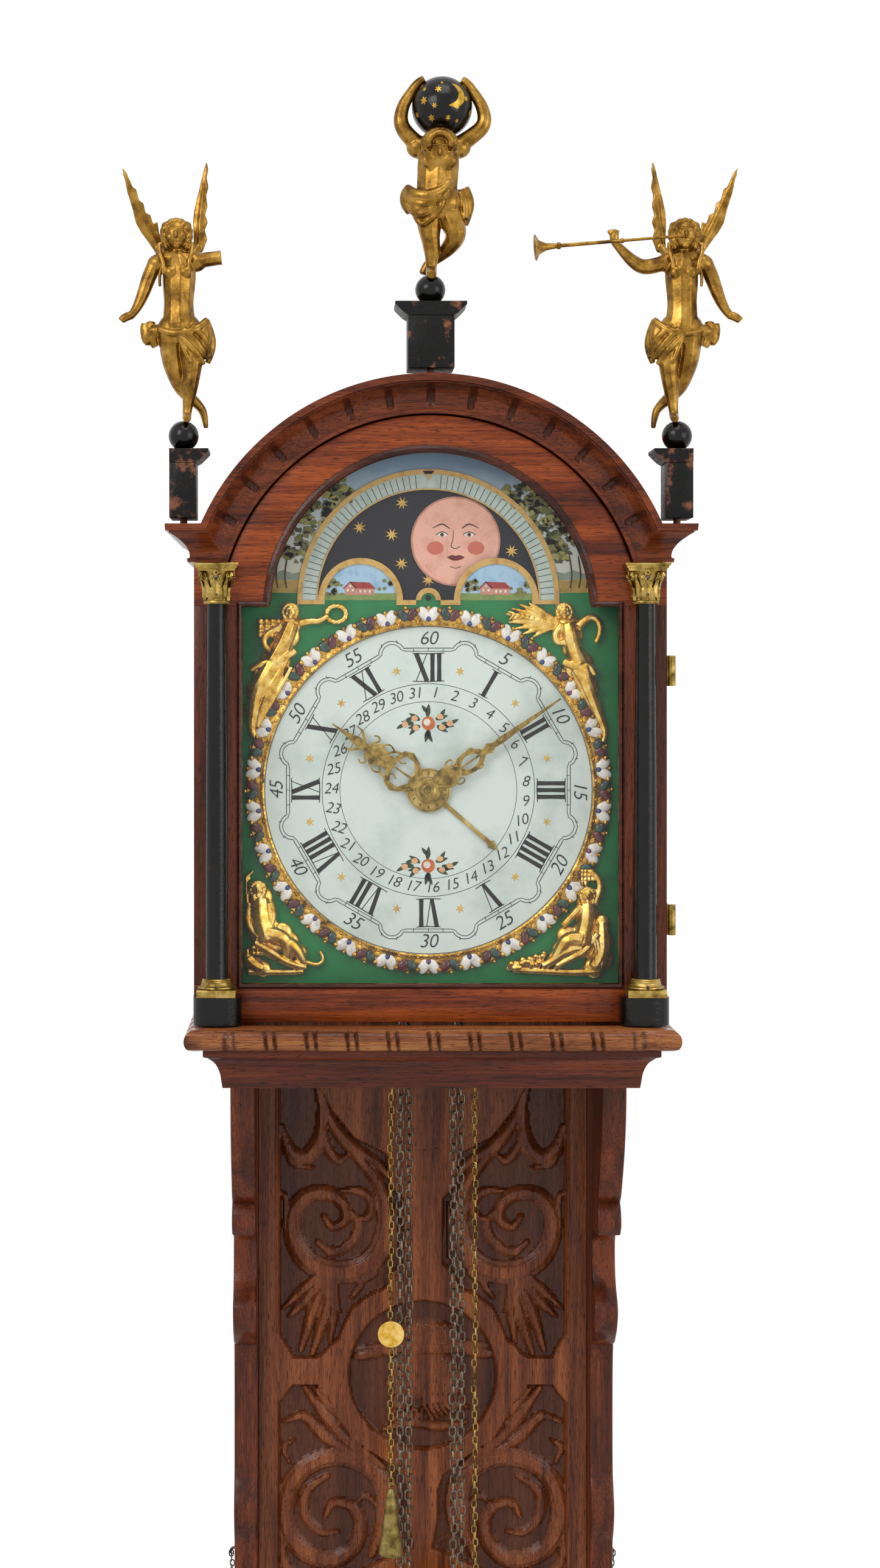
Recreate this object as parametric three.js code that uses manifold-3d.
// A hooded tail wall clock with a posted chain-driven movement, in millimetres.
// X runs to the viewer's right, Y into the wall and Z up. The origin lies on the
// wall face, level with the top of the ledge on which the hood stands.
import * as THREE from 'three';
import { mergeVertices } from 'three/addons/utils/BufferGeometryUtils.js';
import Module from 'manifold-3d';

const wasm = await Module();
wasm.setup();

// Clearances
const seatGap = 0.3; // between pieces that rest on each other
const runGap = 0.4; // round a turning piece
const doorGap = 1.2; // between the door and what frames it
const overrun = 2; // how far a cut runs past its face

// Wall board and tail
const boardThick = 18;
const boardArchInset = 25; // between the board's arch and the roof
const nailHoleRadius = 5;
const nailHoleDrop = 32.6; // from the board's crown
const tailHalfWidth = 146;
const tailSideThick = 18;
const tailLength = 630;
const tailTopDepth = 182;
const tailFootHeight = 18;
const tailFootClearance = 3; // between the foot and the weights that pass it
const tailFootOverhang = 5;
const pendulumSpace = 45;
const panelThick = 12;
const fieldDepth = 4;
const fieldMargin = 14;
const medallionRadius = 64;
const medallionHeight = -296;
const bobWindowRadius = 52;

// Console: a nosed ledge over a cove
const consoleDepth = 226;
const ledgeHeight = 15;
const ledgeOverhang = 30;
const coveHeight = 29;
const coveOverhang = 17;
const coveFoot = 3.5;

// Hood
const hoodHalfWidth = 171;
const hoodSideThick = 13;
const hoodDepth = 195;
const hoodWallGap = 2;
const archCentreDrop = 45.4; // from the shoulders down to the arch's centre
const archShelf = 18.8; // from the hood's side in to the door's arch
const roofThick = 7;
const roofInset = 6;
const roofShelfThick = 9;
const maskThick = 7;
const maskMargin = 2.5;
const corniceHeight = 27;
const corniceOverhang = 20;

// Door
const doorThick = 20;
const stileWidth = 34;
const glassBottomHeight = 28;
const headWidth = 31;
const archRimWidth = 34.8;
const glassArchRise = 9.7; // of the glass arch's centre over the hood's
const rebateDepth = 8;
const rebateWidth = 6;
const glassThick = 2.5;
const glassFit = 0.5;
const hingeAxisOffset = 3.5;
const hingeHeights = [75, 255];
const hingeHeight = 22;
const hingeLeafThick = 1.5;
const hingeLeafReach = 32;
const knuckleRadius = 2.8;

// Columns on the door
const columnInset = 17;
const columnRadius = 8;
const columnForward = 12;
const plinthWidth = 35;
const plinthHeight = 20;
const plinthDepth = 24;
const capitalHeight = 29;
const capitalWidth = 32;

// Finials
const finialDepth = 213;
const finialArchGap = 3.9; // between a side post and the cornice's arch
const sidePostWidth = 19;
const sidePostHeight = 40;
const centrePostWidth = 33.5;
const centrePostHeight = 38;
const postDepth = 30;
const dowelRadius = 3;
const dowelHeight = 4;
const capHeight = 10;
const capOverhang = 9;
const ballRadius = 11;
const wingedHeight = 146;
const bearerHeight = 121;
const globeRadius = 22;
const wingThick = 2;
const trumpetRadius = 1.3;
const trumpetBellRadius = 9.5;

// Dial
const dialDepth = 180;
const dialThick = 1.5;
const dialMargin = 9;
const ringWidth = 15.5;
const ringThick = 5;
const ringLobes = 24;
const ringLobeDepth = 2.5;
const ringSideGap = 0.5; // between the ring and the glass opening's sides
const ringBottomGap = 2.8;
const shoulderDip = 1.8; // of the glass opening's shoulders below the ring's crown
const dialFootRadius = 2.5;
const spandrelThick = 5;
const spandrelSize = 76;
const moonRise = 11.7; // of the moon's centre over the glass arch's
const moonBorder = 35.9; // from the glass arch in to the moon's opening
const moonDiscLap = 4.5;
const moonDiscThick = 1.2;
const moonPinRadius = 2;
const humpRadiusShare = 0.38; // of the opening's radius
const humpCentreShare = 0.577;
const moonTabRadius = 9;

// Hands
const minuteHandClearance = 3; // inside the ring
const hourHandLength = 86;
const dateHandLength = 67;
const alarmDiscRadius = 16.2;
const handThick = 1;
const handStep = 1.9; // from one hand's face to the next one's
const minutesShown = 9.2;
const hoursShown = 10;
const dateAngleShare = 130.8 / 360;
const pipeWall = 1.1;
const centreArborRadius = 1.5;
const handHubRadius = 9;

// Movement frame
const frameHalfWidth = 58;
const pillarCentre = 52;
const pillarWidth = 7;
const frameDrop = 101; // below the dial's centre
const frameRise = 72.7;
const plateThick = 4;
const rearBarBack = 74;
const middleBarBack = 120;
const frontBarBack = 156;
const barThick = 4;
const barHalfWidth = 30;
const frameOverlap = 4;
const arborRadius = 1.5;

// Seat board
const seatThick = 13.7;
const seatHalfWidth = 62;
const seatDepth = 172;
const bracketThick = 8;
const bracketDrop = 50;
const bracketReach = 100;
const bracketCentre = 48;
const strandHoleRadius = 4.6;

// Trains: counts of teeth and modules
const greatTeeth = 48;
const centrePinionLeaves = 8;
const greatModule = 1.618;
const centreTeeth = 48;
const thirdPinionLeaves = 6;
const centreModule = 1.1;
const thirdTeeth = 48;
const escapePinionLeaves = 6;
const thirdModule = 0.95;
const escapeTeeth = 32;
const escapeRadius = 20;
const wheelThick = 2.4;
const wheelSpokes = 3;
const pinionLength = 6;
const cannonTeeth = 8;
const minuteTeeth = 24;
const minutePinionLeaves = 6;
const hourTeeth = 24;
const minuteModule = 1.35;
const strikeTeeth = 36;
const flyPinionLeaves = 6;
const strikeModule = 1.67;
const strikePins = 8;
const strikePinRadius = 1.2;
const strikePinLength = 6;
const strikePinCircle = 25;
const flyHalfWidth = 15;
const flyLength = 14;
const flyThick = 1;
const thirdArborAside = 22;
const minuteArborAside = 15.3;
const flyArborAside = -20;
const anchorRise = 28.6;
const palletReach = 4.5;
const palletWidth = 2.2;

// Chains, weights and pendulum
const sprocketRadius = 20;
const alarmSprocketRadius = 31.2;
const alarmDrop = 59.3; // below the dial's centre
const alarmAside = 4;
const chainRadius = 2.5;
const flangeThick = 1;
const flangeRise = 2.5;
const strikeAside = 8;
const goingChainDepth = 149;
const strikeChainDepth = 110;
const alarmChainDepth = 165;
const weightTopHeight = -440;
const weightRadius = 18;
const weightLength = 140;
const hookLength = 12;
const alarmWeightTopHeight = -350;
const alarmWeightLength = 51;
const alarmWeightRadius = 9.3;
const alarmTagHeight = -237;
const alarmTagRadius = 9.9;
const pullEndHeight = -500;
const alarmPullEndHeight = -424;
const pendulumDepth = 40;
const bobRise = 91.04; // of the bob's centre over the tail's end
const bobRadius = 45;
const bobThick = 14;
const rodRadius = 2;
const eyeWall = 3.5;
const cockHalfWidth = 14;
const cockHeight = 40;
const cockThick = 3;
const crutchDrop = 60;
const crutchThick = 2;

// Bell and hammer
const bellRadius = 36;
const bellHeight = 34;
const bellWall = 2.5;
const bellLift = 16;
const bellDepth = 97;
const standRadius = 3;
const hammerAside = 24;
const hammerRise = 4.7; // over the dial's centre
const hammerHeadRadius = 5;
const hammerHeadLength = 12;
const hammerThick = 3;

// How many sides round pieces have
const wheelSides = 32;
const turnedSides = 12;
const pinSides = 6;
const limbSides = 5;
const archSteps = 16;
const strandSteps = 12;

// Widths, heights and depths that follow
const doorArchRadius = hoodHalfWidth - archShelf;
const roofRadius = hoodHalfWidth - roofInset;
const glassHalfWidth = hoodHalfWidth - stileWidth;
const ringRadius = glassHalfWidth - ringSideGap;
const chapterRadius = ringRadius - ringWidth;
const dialCentreHeight = glassBottomHeight + ringBottomGap + ringRadius;
const glassShoulderHeight = dialCentreHeight + ringRadius - shoulderDip;
const hoodShoulderHeight = glassShoulderHeight + headWidth;
const archCentreHeight = hoodShoulderHeight - archCentreDrop;
const glassArchRadius = doorArchRadius - archRimWidth;
const glassArchCentreHeight = archCentreHeight + glassArchRise;
const boardUpperHalfWidth = hoodHalfWidth - hoodSideThick - hoodWallGap;
const boardShoulderHeight = hoodShoulderHeight - 10 * seatGap;
const boardArchRadius = roofRadius - boardArchInset;
const nailHoleHeight = archCentreHeight + boardArchRadius - nailHoleDrop;
const frameBottomHeight = dialCentreHeight - frameDrop;
const frameTopHeight = dialCentreHeight + frameRise;
const alarmAxisHeight = dialCentreHeight - alarmDrop;
const hammerHeight = dialCentreHeight + hammerRise;
const columnCentre = hoodHalfWidth - columnInset;
const minuteHandLength = chapterRadius - minuteHandClearance;
const moonCentreHeight = glassArchCentreHeight + moonRise;
const moonApertureRadius = glassArchRadius - moonBorder;
const moonDiscRadius = moonApertureRadius + moonDiscLap;
const humpRadius = moonApertureRadius * humpRadiusShare;
const humpCentre = moonApertureRadius * humpCentreShare;
const bobHeight = bobRise - tailLength;
const tailFootDepth = strikeChainDepth - weightRadius - tailFootClearance - tailFootOverhang;
const panelBack = boardThick + pendulumSpace;
const movementFront = frontBarBack + barThick;
const frontPillarFace = movementFront;
const greatCentreDistance = greatModule * (greatTeeth + centrePinionLeaves) / 2;
const greatAxisHeight = dialCentreHeight - greatCentreDistance;
const centreThirdDistance = centreModule * (centreTeeth + thirdPinionLeaves) / 2;
const thirdAxisHeight = dialCentreHeight + Math.sqrt(centreThirdDistance ** 2 - thirdArborAside ** 2);
const thirdEscapeDistance = thirdModule * (thirdTeeth + escapePinionLeaves) / 2;
const escapeAxisHeight = thirdAxisHeight + Math.sqrt(thirdEscapeDistance ** 2 - thirdArborAside ** 2);
const anchorAxisHeight = escapeAxisHeight + anchorRise;
const cannonDistance = minuteModule * (cannonTeeth + minuteTeeth) / 2;
const hourModule = 2 * cannonDistance / (minutePinionLeaves + hourTeeth);
const minuteAxisHeight = dialCentreHeight + Math.sqrt(cannonDistance ** 2 - minuteArborAside ** 2);
const strikeFlyDistance = strikeModule * (strikeTeeth + flyPinionLeaves) / 2;
const flyAxisHeight = greatAxisHeight + Math.sqrt(strikeFlyDistance ** 2 - flyArborAside ** 2);
const minuteAngleShare = minutesShown / 60;
const hourAngleShare = (hoursShown + minuteAngleShare) / 12;
const minutePipeRadius = centreArborRadius + runGap + pipeWall;
const hourPipeRadius = minutePipeRadius + runGap + pipeWall;
const datePipeRadius = hourPipeRadius + runGap + pipeWall;
const corniceFoot = hoodShoulderHeight + seatGap;
const corniceRadius = doorArchRadius + doorGap;
const corniceCrown = corniceRadius + corniceHeight;
const corniceTop = corniceFoot + corniceHeight;
const archReachAtTop = Math.sqrt(corniceCrown ** 2 - (corniceTop - archCentreHeight) ** 2);
const sideFinialCentre = archReachAtTop + finialArchGap + sidePostWidth / 2;

// Materials
function finish(colour, roughness, metalness) {
  return new THREE.MeshStandardMaterial({ color: colour, roughness, metalness });
}
const oak = finish(0x5a2412, 0.45, 0);
const ebonised = finish(0x14110f, 0.35, 0);
const gilt = finish(0xb98a2e, 0.35, 0.9);
const brass = finish(0xb39750, 0.3, 1);
const steel = finish(0x6d6a66, 0.4, 1);
const iron = finish(0x4a4038, 0.7, 0.8);
const dialPaint = finish(0x1f6a3c, 0.5, 0);
const moonPaint = finish(0x1b2038, 0.55, 0);
const enamel = finish(0x8a6a3a, 0.5, 0.4);
const clearGlass = finish(0xdfe8e6, 0.05, 0);

const clock = new THREE.Group();
function add(name, geometry, material, x = 0, y = 0, z = 0) {
  const mesh = new THREE.Mesh(geometry, material);
  mesh.name = name;
  mesh.position.set(x, y, z);
  clock.add(mesh);
  return mesh;
}

// Solids: a closed three.js geometry becomes a solid that can be cut and joined
function solid(geometry) {
  const bare = geometry.clone();
  bare.deleteAttribute('normal');
  bare.deleteAttribute('uv');
  const merged = mergeVertices(bare, seatGap / 100);
  return new wasm.Manifold(new wasm.Mesh({
    numProp: 3,
    vertProperties: new Float32Array(merged.attributes.position.array),
    triVerts: new Uint32Array(merged.index.array),
  }));
}
function geometryOf(made) {
  const mesh = made.getMesh();
  const geometry = new THREE.BufferGeometry();
  geometry.setAttribute('position', new THREE.BufferAttribute(new Float32Array(mesh.vertProperties), 3));
  geometry.setIndex(new THREE.BufferAttribute(new Uint32Array(mesh.triVerts), 1));
  geometry.computeVertexNormals();
  return geometry;
}
function join(...geometries) {
  return geometryOf(geometries.map(solid).reduce((all, one) => all.add(one)));
}
function cut(geometry, ...tools) {
  return geometryOf(tools.map(solid).reduce((left, tool) => left.subtract(tool), solid(geometry)));
}
// The largest body of a cut piece, without the slivers the cut leaves loose
function mainBody(geometry) {
  const bodies = solid(geometry).decompose();
  return geometryOf(bodies.reduce((best, one) => (one.volume() > best.volume() ? one : best)));
}
function moved(geometry, x, y, z) {
  return geometry.clone().translate(x, y, z);
}

// Plain shapes
function box(x0, x1, y0, y1, z0, z1) {
  const geometry = new THREE.BoxGeometry(x1 - x0, y1 - y0, z1 - z0);
  return geometry.translate((x0 + x1) / 2, (y0 + y1) / 2, (z0 + z1) / 2);
}
function outline(points) {
  return new THREE.Shape(points.map(([a, b]) => new THREE.Vector2(a, b)));
}
function circlePoints(a, b, radius, sides, phase = 0) {
  return Array.from({ length: sides }, (_, i) => {
    const angle = phase + 2 * Math.PI * i / sides;
    return [a + radius * Math.cos(angle), b + radius * Math.sin(angle)];
  });
}
function arcPoints(a, b, radius, from, to, steps) {
  return Array.from({ length: steps + 1 }, (_, i) => {
    const angle = from + (to - from) * i / steps;
    return [a + radius * Math.cos(angle), b + radius * Math.sin(angle)];
  });
}
function withHoles(shape, ...holes) {
  holes.forEach((points) => shape.holes.push(outline(points)));
  return shape;
}
// An upright outline in X and Z, given thickness from its back face towards the viewer
function upright(shape, back, thick) {
  const geometry = new THREE.ExtrudeGeometry(shape, { depth: thick, bevelEnabled: false });
  return geometry.rotateX(Math.PI / 2).translate(0, -back, 0);
}
// A flat outline in X and Y, given thickness upwards
function level(shape, bottom, thick) {
  return new THREE.ExtrudeGeometry(shape, { depth: thick, bevelEnabled: false }).translate(0, 0, bottom);
}
// An outline in depth and height, given thickness along X
function sideways(points, left, thick) {
  const shape = outline(points.map(([depth, height]) => [depth, height]));
  const geometry = new THREE.ExtrudeGeometry(shape, { depth: thick, bevelEnabled: false });
  geometry.applyMatrix4(new THREE.Matrix4().set(0, 0, 1, left, -1, 0, 0, 0, 0, 1, 0, 0, 0, 0, 0, 1));
  return turnedOut(geometry);
}
// Reverses each face of a geometry that a mirroring matrix has turned inside out
function turnedOut(geometry) {
  const bare = geometry.index ? geometry.toNonIndexed() : geometry;
  const place = bare.attributes.position;
  for (let i = 0; i < place.count; i += 3) {
    const [x, y, z] = [place.getX(i), place.getY(i), place.getZ(i)];
    place.setXYZ(i, place.getX(i + 1), place.getY(i + 1), place.getZ(i + 1));
    place.setXYZ(i + 1, x, y, z);
  }
  return bare;
}
// A piece turned on the lathe, its profile given as [radius, height] from foot to top
function turned(profile, sides = turnedSides) {
  const points = profile.map(([radius, height]) => new THREE.Vector2(radius, height));
  return new THREE.LatheGeometry(points, sides).rotateX(Math.PI / 2);
}
// The same, its axis along Y, from a back depth towards the viewer
function turnedAlongY(profile, x, z, sides = turnedSides) {
  const points = profile.map(([radius, depth]) => new THREE.Vector2(radius, -depth));
  const geometry = new THREE.LatheGeometry(points.reverse(), sides);
  return geometry.translate(x, 0, z);
}
function rod(x, z, radius, back, front, sides = pinSides) {
  return upright(outline(circlePoints(x, z, radius, sides)), back, front - back);
}
// A closed skin over a row of sections that all have the same number of points
function loft(sections) {
  const count = sections[0].length;
  const points = sections.flat();
  const faces = [];
  for (let s = 0; s + 1 < sections.length; s += 1) {
    for (let i = 0; i < count; i += 1) {
      const a = s * count + i;
      const b = s * count + (i + 1) % count;
      faces.push(a, b, b + count, a, b + count, a + count);
    }
  }
  const capped = (first, reverse) => {
    const ring = sections[first / count];
    const flat = flatten(ring);
    THREE.ShapeUtils.triangulateShape(flat, []).forEach(([a, b, c]) => {
      const clockwise = area(flat, a, b, c) < 0;
      const [p, q] = clockwise === signed(flat) < 0 ? [b, c] : [c, b];
      faces.push(...(reverse ? [first + a, first + q, first + p] : [first + a, first + p, first + q]));
    });
  };
  capped(0, true);
  capped((sections.length - 1) * count, false);
  const geometry = new THREE.BufferGeometry();
  geometry.setAttribute('position', new THREE.Float32BufferAttribute(points.flat(), 3));
  geometry.setIndex(faces);
  return solid(geometry).volume() < 0 ? turnedOut(geometry) : geometry;
}
function area(flat, a, b, c) {
  return (flat[b].x - flat[a].x) * (flat[c].y - flat[a].y) - (flat[b].y - flat[a].y) * (flat[c].x - flat[a].x);
}
function signed(flat) {
  return THREE.ShapeUtils.area(flat);
}
// The points of a nearly flat ring, seen along its own normal
function flatten(ring) {
  const places = ring.map((p) => new THREE.Vector3(...p));
  const normal = new THREE.Vector3();
  places.forEach((p, i) => normal.add(p.clone().cross(places[(i + 1) % places.length])));
  normal.normalize();
  const side = Math.abs(normal.z) < Math.SQRT1_2 ? new THREE.Vector3(0, 0, 1) : new THREE.Vector3(1, 0, 0);
  const across = side.clone().cross(normal).normalize();
  const up = normal.clone().cross(across);
  return places.map((p) => new THREE.Vector2(p.dot(across), p.dot(up)));
}
// A round limb that swells and tapers along [x, y, z, radius] stations
function limb(stations, sides = limbSides) {
  const places = stations.map(([x, y, z]) => new THREE.Vector3(x, y, z));
  const sections = places.map((place, i) => {
    const ahead = places[Math.min(i + 1, places.length - 1)];
    const behind = places[Math.max(i - 1, 0)];
    const along = ahead.clone().sub(behind).normalize();
    const side = Math.abs(along.y) < Math.SQRT1_2 ? new THREE.Vector3(0, 1, 0) : new THREE.Vector3(1, 0, 0);
    const across = side.clone().cross(along).normalize();
    const up = along.clone().cross(across);
    return Array.from({ length: sides }, (_, k) => {
      const angle = 2 * Math.PI * k / sides;
      const reach = across.clone().multiplyScalar(Math.cos(angle)).addScaledVector(up, Math.sin(angle));
      return place.clone().addScaledVector(reach, stations[i][3]).toArray();
    });
  });
  return loft(sections);
}
// A trunk of level oval sections [x, y, z, half width, half depth]
function trunk(stations, sides = limbSides + 1) {
  return loft(stations.map(([x, y, z, wide, deep]) => (
    circlePoints(0, 0, 1, sides).map(([c, s]) => [x + wide * c, y + deep * s, z])
  )));
}
function ball(x, y, z, radius, sides = pinSides + 2) {
  return new THREE.SphereGeometry(radius, sides, sides - 2).rotateX(Math.PI / 2).translate(x, y, z);
}
function scaled(shares, size) {
  return shares.map((row) => row.map((share) => share * size));
}

// Case: the board on the wall
function brokenArch(margin, bottomMargin = margin) {
  const half = glassHalfWidth + margin;
  const radius = glassArchRadius + margin;
  const shoulder = glassShoulderHeight + margin;
  const start = Math.asin((shoulder - glassArchCentreHeight) / radius);
  return [
    [-half, glassBottomHeight - bottomMargin],
    [half, glassBottomHeight - bottomMargin],
    [half, shoulder],
    ...arcPoints(0, glassArchCentreHeight, radius, start, Math.PI - start, archSteps),
    [-half, shoulder],
  ];
}
const tailInnerHalfWidth = tailHalfWidth - tailSideThick;
const boardHalfWidth = tailInnerHalfWidth - seatGap;
const footTop = tailFootHeight - tailLength;
{
  const start = Math.asin((boardShoulderHeight - archCentreHeight) / boardArchRadius);
  const shape = outline([
    [-boardHalfWidth, footTop + seatGap],
    [boardHalfWidth, footTop + seatGap],
    [boardHalfWidth, seatGap],
    [boardUpperHalfWidth, seatGap],
    [boardUpperHalfWidth, boardShoulderHeight],
    ...arcPoints(0, archCentreHeight, boardArchRadius, start, Math.PI - start, archSteps),
    [-boardUpperHalfWidth, boardShoulderHeight],
    [-boardUpperHalfWidth, seatGap],
    [-boardHalfWidth, seatGap],
  ]);
  withHoles(shape, circlePoints(0, nailHoleHeight, nailHoleRadius, turnedSides));
  add('backboard', upright(shape, 0, boardThick), oak);
}

// The tail's side boards: a sawn front edge in stretches, as shares of its length and its top depth
const tailEdgeShares = [
  [[0, 1], [0.1, 1], [0.16, 0.95], [0.22, 0.84], [0.236, 0.79]],
  [[0.246, 0.82], [0.262, 0.83], [0.275, 0.8]],
  [[0.28, 0.65], [0.3, 0.6], [0.34, 0.62], [0.372, 0.71], [0.4, 0.68], [0.423, 0.6]],
  [[0.43, 0.54], [0.47, 0.52], [0.58, 0.52], [0.61, 0.55], [0.635, 0.58], [0.66, 0.56], [0.68, 0.52]],
  [[0.72, 0.5], [0.88, 0.5], [0.93, 0.56], [1, 0.57]],
];
{
  const length = tailLength - tailFootHeight - 2 * seatGap;
  const edge = tailEdgeShares.flatMap((stretch) => {
    const curve = new THREE.SplineCurve(stretch.map(([down, out]) => (
      new THREE.Vector2(out * tailTopDepth, -seatGap - down * length)
    )));
    return curve.getPoints(2 * (stretch.length - 1)).map((p) => [p.x, p.y]);
  });
  const points = [[0, -seatGap], ...edge, [0, -seatGap - length]];
  add('tail_side_left', sideways(points, -tailHalfWidth, tailSideThick), oak);
  add('tail_side_right', sideways(points, tailInnerHalfWidth, tailSideThick), oak);
}

// The carved panel: sunk fields above and below the medallion, and the round window for the bob
{
  const half = tailInnerHalfWidth - seatGap;
  const top = -ledgeHeight;
  const shape = outline([
    [-half, footTop + seatGap],
    [half, footTop + seatGap],
    [half, top],
    [-half, top],
  ]);
  withHoles(shape, circlePoints(0, bobHeight, bobWindowRadius, wheelSides));
  const inner = half - fieldMargin;
  const middle = fieldMargin / 2;
  const field = (side, low, high) => {
    const across = (high - low) / 2;
    return upright(outline([
      [side * middle * 2, low + across * 0.6],
      [side * inner * 0.62, low],
      [side * inner, low + across * 0.12],
      [side * inner, high - across * 0.12],
      [side * inner * 0.62, high],
      [side * middle * 2, high - across * 0.6],
    ]), panelBack + panelThick - fieldDepth, fieldDepth + overrun);
  };
  const high = -ledgeHeight - coveHeight - 2 * fieldMargin;
  const low = bobHeight + bobWindowRadius / 2;
  const tools = [];
  [-1, 1].forEach((side) => {
    tools.push(field(side, medallionHeight + middle, high));
    tools.push(field(side, low, medallionHeight - middle));
  });
  const inset = turnedAlongY([
    [0, panelBack + panelThick - fieldDepth],
    [medallionRadius * 0.86, panelBack + panelThick - fieldDepth],
    [medallionRadius, panelBack + panelThick + overrun],
    [0, panelBack + panelThick + overrun],
  ], 0, medallionHeight, wheelSides);
  const rim = turnedAlongY([
    [0, panelBack + panelThick - fieldDepth * 1.5],
    [medallionRadius * 1.14, panelBack + panelThick - fieldDepth * 1.5],
    [medallionRadius * 1.14, panelBack + panelThick],
    [0, panelBack + panelThick],
  ], 0, medallionHeight, wheelSides);
  const sunk = cut(upright(shape, panelBack, panelThick), ...tools);
  add('tail_panel', cut(join(sunk, rim), inset), oak);
}

// The tail's foot closes the box below
{
  const half = tailHalfWidth + tailFootOverhang;
  const step = tailFootHeight / 3;
  add('tail_foot', loft([
    [[-half, 0], [half, 0], [half, -tailFootDepth - tailFootOverhang], [-half, -tailFootDepth - tailFootOverhang]]
      .map(([x, y]) => [x, y, footTop]),
    [[-half, 0], [half, 0], [half, -tailFootDepth - tailFootOverhang], [-half, -tailFootDepth - tailFootOverhang]]
      .map(([x, y]) => [x, y, footTop - step]),
    [[-tailHalfWidth, 0], [tailHalfWidth, 0], [tailHalfWidth, -tailFootDepth], [-tailHalfWidth, -tailFootDepth]]
      .map(([x, y]) => [x, y, -tailLength]),
  ]), oak);
}

// Console mouldings: a profile of [out, height] run round three sides with mitred corners
function wrapped(profile, half, depth) {
  return loft([
    profile.map(([out, height]) => [-half - out, 0, height]),
    profile.map(([out, height]) => [-half - out, -depth - out, height]),
    profile.map(([out, height]) => [half + out, -depth - out, height]),
    profile.map(([out, height]) => [half + out, 0, height]),
  ]);
}
const ledgeNoseShares = [[0.8, -1], [0.95, -0.8], [1, -0.5], [0.95, -0.2], [0.86, 0]];
const coveShares = [[0, 0], [0.04, 0.12], [0.1, 0.4], [0.3, 0.7], [0.72, 0.84], [1, 0.86], [1, 1]];
{
  const half = tailHalfWidth + seatGap;
  add('console_ledge', wrapped([
    [0, -ledgeHeight],
    ...ledgeNoseShares.map(([out, up]) => [out * ledgeOverhang, up * ledgeHeight]),
    [0, 0],
  ], half, consoleDepth), oak);
  const foot = -ledgeHeight - seatGap - coveHeight;
  add('console_cove', wrapped([
    [0, foot],
    ...coveShares.map(([out, up]) => [coveFoot + out * (coveOverhang - coveFoot), foot + up * coveHeight]),
    [0, foot + coveHeight],
  ], half, consoleDepth), oak);
}

// Hood: sides, vaulted roof, front mask and the arched cornice
const sideFoot = seatGap;
add('hood_side_left', box(
  -hoodHalfWidth, -hoodHalfWidth + hoodSideThick, -hoodDepth, -hoodWallGap, sideFoot, hoodShoulderHeight,
), oak);
add('hood_side_right', box(
  hoodHalfWidth - hoodSideThick, hoodHalfWidth, -hoodDepth, -hoodWallGap, sideFoot, hoodShoulderHeight,
), oak);
const maskBack = hoodDepth - maskThick;
{
  const foot = hoodShoulderHeight + seatGap;
  const shelf = foot + roofShelfThick;
  const innerRadius = roofRadius - roofThick;
  const outerStart = Math.asin((shelf - archCentreHeight) / roofRadius);
  const innerStart = Math.asin((foot - archCentreHeight) / innerRadius);
  const shape = outline([
    [hoodHalfWidth, foot],
    [hoodHalfWidth, shelf],
    ...arcPoints(0, archCentreHeight, roofRadius, outerStart, Math.PI - outerStart, archSteps),
    [-hoodHalfWidth, shelf],
    [-hoodHalfWidth, foot],
    ...arcPoints(0, archCentreHeight, innerRadius, Math.PI - innerStart, innerStart, archSteps),
  ]);
  add('hood_roof', upright(shape, hoodWallGap, maskBack - seatGap - hoodWallGap), oak);
}
{
  const half = hoodHalfWidth - hoodSideThick - seatGap;
  const radius = roofRadius - seatGap;
  const foot = hoodShoulderHeight + seatGap;
  const start = Math.asin((foot - archCentreHeight) / radius);
  const shape = outline([
    [-half, sideFoot],
    [half, sideFoot],
    [half, foot],
    ...arcPoints(0, archCentreHeight, radius, start, Math.PI - start, archSteps),
    [-half, foot],
  ]);
  withHoles(shape, brokenArch(maskMargin));
  add('hood_mask', upright(shape, maskBack, maskThick), oak);
}

// Cornice: [rise, out] from its foot, the last two points on its back
const corniceShares = [
  [0, 0.22], [0.1, 0.24], [0.14, 0.14], [0.3, 0.18], [0.55, 0.4], [0.76, 0.86], [0.8, 0.86], [0.82, 1], [1, 1],
];
function corniceSections(shares) {
  const profile = shares.map(([rise, out]) => [rise * corniceHeight, out * corniceOverhang, false]);
  profile.push([profile[profile.length - 1][0], 0, true], [profile[0][0], 0, true]);
  const side = (out, back) => hoodHalfWidth + (back ? seatGap : out);
  const front = (out, back) => -(back ? hoodDepth + seatGap : hoodDepth + doorThick + out);
  const start = (rise) => Math.asin((corniceFoot + rise - archCentreHeight) / (corniceRadius + rise));
  const arch = Array.from({ length: archSteps + 1 }, (_, i) => profile.map(([rise, out, back]) => {
    const angle = Math.PI - start(rise) - (Math.PI - 2 * start(rise)) * i / archSteps;
    const radius = corniceRadius + rise;
    return [radius * Math.cos(angle), front(out, back), archCentreHeight + radius * Math.sin(angle)];
  }));
  return [
    profile.map(([rise, out, back]) => [-side(out, back), -hoodWallGap, corniceFoot + rise]),
    profile.map(([rise, out, back]) => [-side(out, back), front(out, back), corniceFoot + rise]),
    ...arch,
    profile.map(([rise, out, back]) => [side(out, back), front(out, back), corniceFoot + rise]),
    profile.map(([rise, out, back]) => [side(out, back), -hoodWallGap, corniceFoot + rise]),
  ];
}
add('hood_cornice', loft(corniceSections(corniceShares)), oak);

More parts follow.
